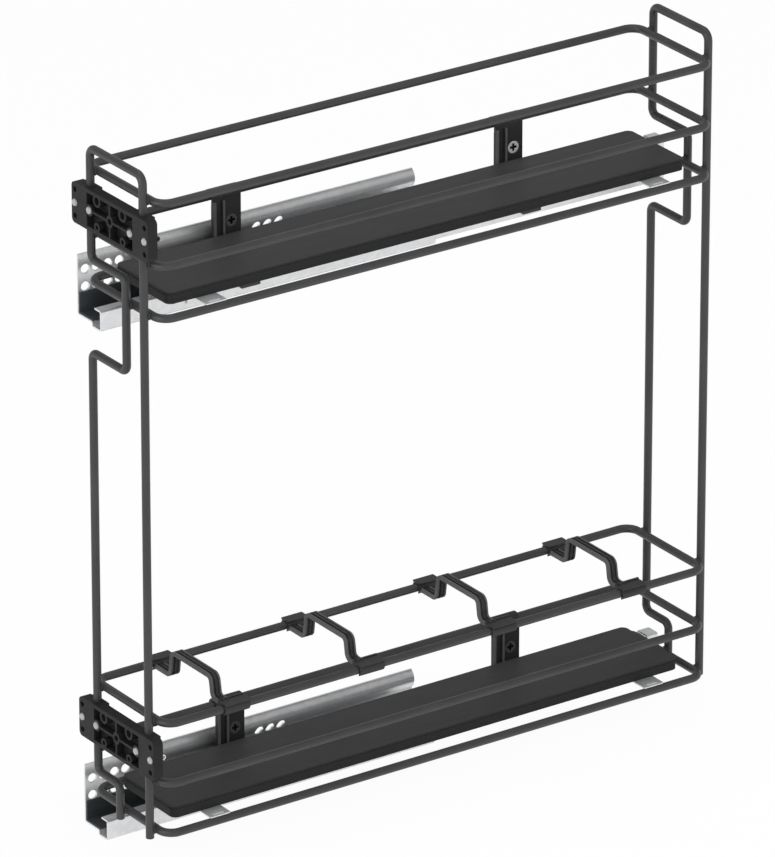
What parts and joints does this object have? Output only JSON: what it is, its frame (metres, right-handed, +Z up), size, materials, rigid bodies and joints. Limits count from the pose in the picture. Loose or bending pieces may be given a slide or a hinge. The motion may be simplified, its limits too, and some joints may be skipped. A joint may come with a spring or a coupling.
{
  "type": "pull-out bottle rack",
  "caption": "Narrow pull-out wire rack for a base cabinet, with shelves, sliding bottle dividers, side-mounted telescopic runners and brackets for the cabinet front.",
  "frame": {"origin": "centre of the lower cabinet rail's front group of fixing holes, on the cabinet wall", "axes": "+X from the cabinet wall across the rack, +Y into the cabinet, +Z up"},
  "size_m": [0.1092, 0.489, 0.5284],
  "materials": {
    "black_wire": "satin powder coat",
    "black_sheet": "satin powder coat",
    "black_board": "matt laminate",
    "black_moulding": "fine moulded grain",
    "divider_moulding": "satin moulded",
    "zinc_sheet": "galvanised, satin",
    "bright_steel": "zinc plated",
    "black_screw": "black zinc",
    "roller_white": "moulded"
  },
  "bodies": {
    "cabinet": {"upper_cabinet_rail": "zinc_sheet", "upper_soft_close_unit": "black_moulding", "upper_rear_buffer": "black_moulding", "lower_cabinet_rail": "zinc_sheet", "lower_soft_close_unit": "black_moulding", "lower_rear_buffer": "black_moulding"},
    "rack": {"front_frame": "black_wire", "back_frame": "black_wire", "upper_shelf_ring": "black_wire", "upper_middle_ring": "black_wire", "upper_top_ring": "black_wire", "upper_shelf": "black_board", "upper_rack_rail": "zinc_sheet", "upper_front_bracket": "black_moulding", "upper_bracket_rivets": "bright_steel", "upper_bracket_clamp_screws": "black_screw", "upper_front_hanger": "black_moulding", "upper_front_saddle": "black_sheet", "upper_front_hanger_screw": "black_screw", "upper_front_shelf_clip": "zinc_sheet", "upper_rear_hanger": "black_moulding", "upper_rear_saddle": "black_sheet", "upper_rear_hanger_screw": "bright_steel", "upper_rear_shelf_clip": "zinc_sheet", "lower_shelf_ring": "black_wire", "lower_middle_ring": "black_wire", "lower_top_ring": "black_wire", "lower_shelf": "black_board", "lower_rack_rail": "zinc_sheet", "lower_front_bracket": "black_moulding", "lower_bracket_rivets": "bright_steel", "lower_bracket_clamp_screws": "bright_steel", "lower_front_hanger": "black_moulding", "lower_front_saddle": "black_sheet", "lower_front_hanger_screw": "black_screw", "lower_front_shelf_clip": "zinc_sheet", "lower_rear_hanger": "black_moulding", "lower_rear_saddle": "black_sheet", "lower_rear_hanger_screw": "black_screw", "lower_rear_shelf_clip": "zinc_sheet"},
    "upper_intermediate": {"upper_intermediate_rail": "zinc_sheet"},
    "upper_lower_cage": {"upper_runner_lower_cage": "zinc_sheet", "upper_runner_lower_cage_rollers": "roller_white"},
    "upper_upper_cage": {"upper_runner_upper_cage": "zinc_sheet", "upper_runner_upper_cage_rollers": "roller_white"},
    "lower_intermediate": {"lower_intermediate_rail": "zinc_sheet"},
    "lower_lower_cage": {"lower_runner_lower_cage": "zinc_sheet", "lower_runner_lower_cage_rollers": "roller_white"},
    "lower_upper_cage": {"lower_runner_upper_cage": "zinc_sheet", "lower_runner_upper_cage_rollers": "roller_white"},
    "divider_1": {"divider_1": "divider_moulding"},
    "divider_2": {"divider_2": "divider_moulding"},
    "divider_3": {"divider_3": "divider_moulding"},
    "divider_4": {"divider_4": "divider_moulding"}
  },
  "joints": [
    {"name": "rack_slide", "type": "slide", "parent": "cabinet", "child": "rack", "axis": [0, -1, 0], "range_m": [0, 0.4]},
    {"name": "upper_intermediate_slide", "type": "slide", "parent": "cabinet", "child": "upper_intermediate", "axis": [0, -1, 0], "range_m": [0, 0.2]},
    {"name": "upper_lower_cage_slide", "type": "slide", "parent": "cabinet", "child": "upper_lower_cage", "axis": [0, -1, 0], "range_m": [0, 0.1]},
    {"name": "upper_upper_cage_slide", "type": "slide", "parent": "cabinet", "child": "upper_upper_cage", "axis": [0, -1, 0], "range_m": [0, 0.3]},
    {"name": "lower_intermediate_slide", "type": "slide", "parent": "cabinet", "child": "lower_intermediate", "axis": [0, -1, 0], "range_m": [0, 0.2]},
    {"name": "lower_lower_cage_slide", "type": "slide", "parent": "cabinet", "child": "lower_lower_cage", "axis": [0, -1, 0], "range_m": [0, 0.1]},
    {"name": "lower_upper_cage_slide", "type": "slide", "parent": "cabinet", "child": "lower_upper_cage", "axis": [0, -1, 0], "range_m": [0, 0.3]},
    {"name": "divider_1_slide", "type": "slide", "parent": "rack", "child": "divider_1", "axis": [0, 1, 0], "range_m": [-0.028, 0.035]},
    {"name": "divider_2_slide", "type": "slide", "parent": "rack", "child": "divider_2", "axis": [0, 1, 0], "range_m": [-0.035, 0.035]},
    {"name": "divider_3_slide", "type": "slide", "parent": "rack", "child": "divider_3", "axis": [0, 1, 0], "range_m": [-0.035, 0.035]},
    {"name": "divider_4_slide", "type": "slide", "parent": "rack", "child": "divider_4", "axis": [0, 1, 0], "range_m": [-0.035, 0.035]}
  ],
  "couplings": [
    {"joint": "upper_intermediate_slide", "follows": "rack_slide", "ratio": 0.5},
    {"joint": "upper_lower_cage_slide", "follows": "rack_slide", "ratio": 0.25},
    {"joint": "upper_upper_cage_slide", "follows": "rack_slide", "ratio": 0.75},
    {"joint": "lower_intermediate_slide", "follows": "rack_slide", "ratio": 0.5},
    {"joint": "lower_lower_cage_slide", "follows": "rack_slide", "ratio": 0.25},
    {"joint": "lower_upper_cage_slide", "follows": "rack_slide", "ratio": 0.75}
  ]
}
